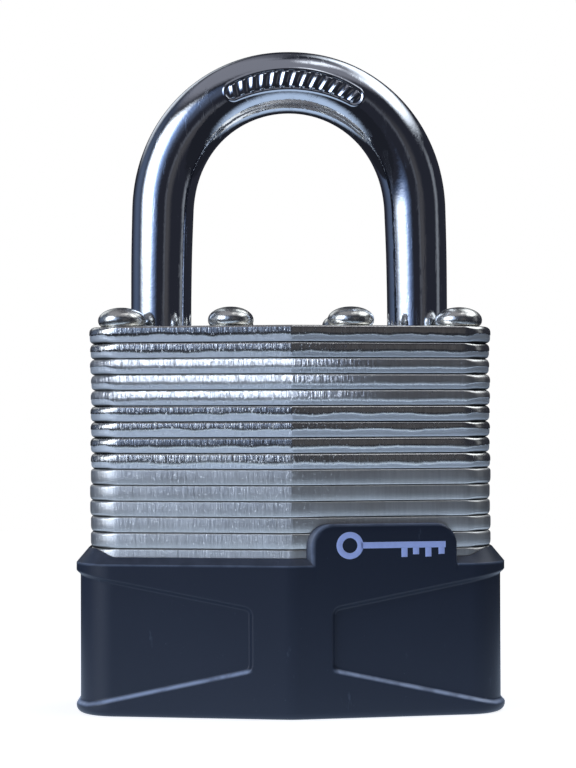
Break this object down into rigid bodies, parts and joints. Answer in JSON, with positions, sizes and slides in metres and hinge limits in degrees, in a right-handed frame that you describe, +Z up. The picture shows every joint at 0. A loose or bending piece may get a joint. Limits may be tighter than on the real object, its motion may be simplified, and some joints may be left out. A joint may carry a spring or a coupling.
{
  "type": "padlock",
  "caption": "Laminated padlock with a riveted stack of steel plates, a round steel shackle, a pin-tumbler cylinder and a plastic base bumper.",
  "frame": {"origin": "centre of the base, on the surface that the padlock stands on", "axes": "+Z up along the shackle's legs, +X to the right along the plates, -Y out of the front"},
  "size_m": [0.0522, 0.0268, 0.0814],
  "materials": {
    "plate_steel": "stamped, burnished edges",
    "shackle_steel": "plated, bright",
    "rivet_steel": "nickel plated",
    "bumper_plastic": "satin moulded",
    "lock_brass": "turned",
    "works_steel": "plain",
    "spring_steel": "drawn wire"
  },
  "bodies": {
    "lock_body": {"bottom_plate": "plate_steel", "bumper": "bumper_plastic", "cam_plate_07": "plate_steel", "clip_plate_10": "plate_steel", "cylinder_housing": "lock_brass", "cylinder_plate_11": "plate_steel", "cylinder_plate_12": "plate_steel", "cylinder_plate_14": "plate_steel", "cylinder_plate_15": "plate_steel", "cylinder_plate_16": "plate_steel", "cylinder_plate_17": "plate_steel", "cylinder_plate_18": "plate_steel", "cylinder_plate_19": "plate_steel", "cylinder_plate_20": "plate_steel", "cylinder_plate_21": "plate_steel", "cylinder_plate_22": "plate_steel", "cylinder_plate_23": "plate_steel", "dog_plate_04": "plate_steel", "dog_plate_05": "plate_steel", "dog_plate_06": "plate_steel", "dog_spring": "spring_steel", "guide_plate_02": "plate_steel", "guide_plate_03": "plate_steel", "heel_retaining_washer": "works_steel", "pin_chamber_cover": "lock_brass", "pin_spring_1": "spring_steel", "pin_spring_2": "spring_steel", "pin_spring_3": "spring_steel", "pin_spring_4": "spring_steel", "retainer_plate_13": "plate_steel", "rivets": "rivet_steel", "spindle_plate_08": "plate_steel", "spindle_plate_09": "plate_steel", "top_plate": "plate_steel"},
    "shackle": {"shackle": "shackle_steel"},
    "plug": {"plug": "lock_brass", "plug_retaining_clip": "spring_steel", "cam": "works_steel"},
    "left_dog": {"left_dog": "works_steel"},
    "right_dog": {"right_dog": "works_steel"},
    "key_pin_1": {"key_pin_1": "lock_brass"},
    "driver_pin_1": {"driver_pin_1": "lock_brass"},
    "key_pin_2": {"key_pin_2": "lock_brass"},
    "driver_pin_2": {"driver_pin_2": "lock_brass"},
    "key_pin_3": {"key_pin_3": "lock_brass"},
    "driver_pin_3": {"driver_pin_3": "lock_brass"},
    "key_pin_4": {"key_pin_4": "lock_brass"},
    "driver_pin_4": {"driver_pin_4": "lock_brass"}
  },
  "joints": [
    {"name": "shackle_lift", "type": "slide", "parent": "lock_body", "child": "shackle", "axis": [0, 0, 1], "range_m": [0, 0.016]},
    {"name": "plug_turn", "type": "hinge", "parent": "lock_body", "child": "plug", "pos_m": [0, 0, 0.016], "axis": [0, 0, 1], "range_deg": [-90, 0]},
    {"name": "right_dog_slide", "type": "slide", "parent": "lock_body", "child": "right_dog", "axis": [1, 0, 0], "range_m": [0, 0.0016], "deforming": ["dog_spring"]},
    {"name": "left_dog_slide", "type": "slide", "parent": "lock_body", "child": "left_dog", "axis": [-1, 0, 0], "range_m": [0, 0.0016]},
    {"name": "key_pin_1_slide", "type": "slide", "parent": "plug", "child": "key_pin_1", "axis": [1, 0, 0], "range_m": [0, 0.0014]},
    {"name": "driver_pin_1_slide", "type": "slide", "parent": "lock_body", "child": "driver_pin_1", "axis": [0, 1, 0], "range_m": [0, 0.001], "stiffness_N_per_m": 40, "deforming": ["pin_spring_1"]},
    {"name": "key_pin_2_slide", "type": "slide", "parent": "plug", "child": "key_pin_2", "axis": [1, 0, 0], "range_m": [0, 0.0014]},
    {"name": "driver_pin_2_slide", "type": "slide", "parent": "lock_body", "child": "driver_pin_2", "axis": [0, 1, 0], "range_m": [0, 0.001], "stiffness_N_per_m": 40, "deforming": ["pin_spring_2"]},
    {"name": "key_pin_3_slide", "type": "slide", "parent": "plug", "child": "key_pin_3", "axis": [1, 0, 0], "range_m": [0, 0.0014]},
    {"name": "driver_pin_3_slide", "type": "slide", "parent": "lock_body", "child": "driver_pin_3", "axis": [0, 1, 0], "range_m": [0, 0.001], "stiffness_N_per_m": 40, "deforming": ["pin_spring_3"]},
    {"name": "key_pin_4_slide", "type": "slide", "parent": "plug", "child": "key_pin_4", "axis": [1, 0, 0], "range_m": [0, 0.0014]},
    {"name": "driver_pin_4_slide", "type": "slide", "parent": "lock_body", "child": "driver_pin_4", "axis": [0, 1, 0], "range_m": [0, 0.001], "stiffness_N_per_m": 40, "deforming": ["pin_spring_4"]}
  ],
  "couplings": [
    {"joint": "right_dog_slide", "follows": "plug_turn", "m_per_rad": -0.0010186},
    {"joint": "left_dog_slide", "follows": "plug_turn", "m_per_rad": -0.0010186}
  ]
}
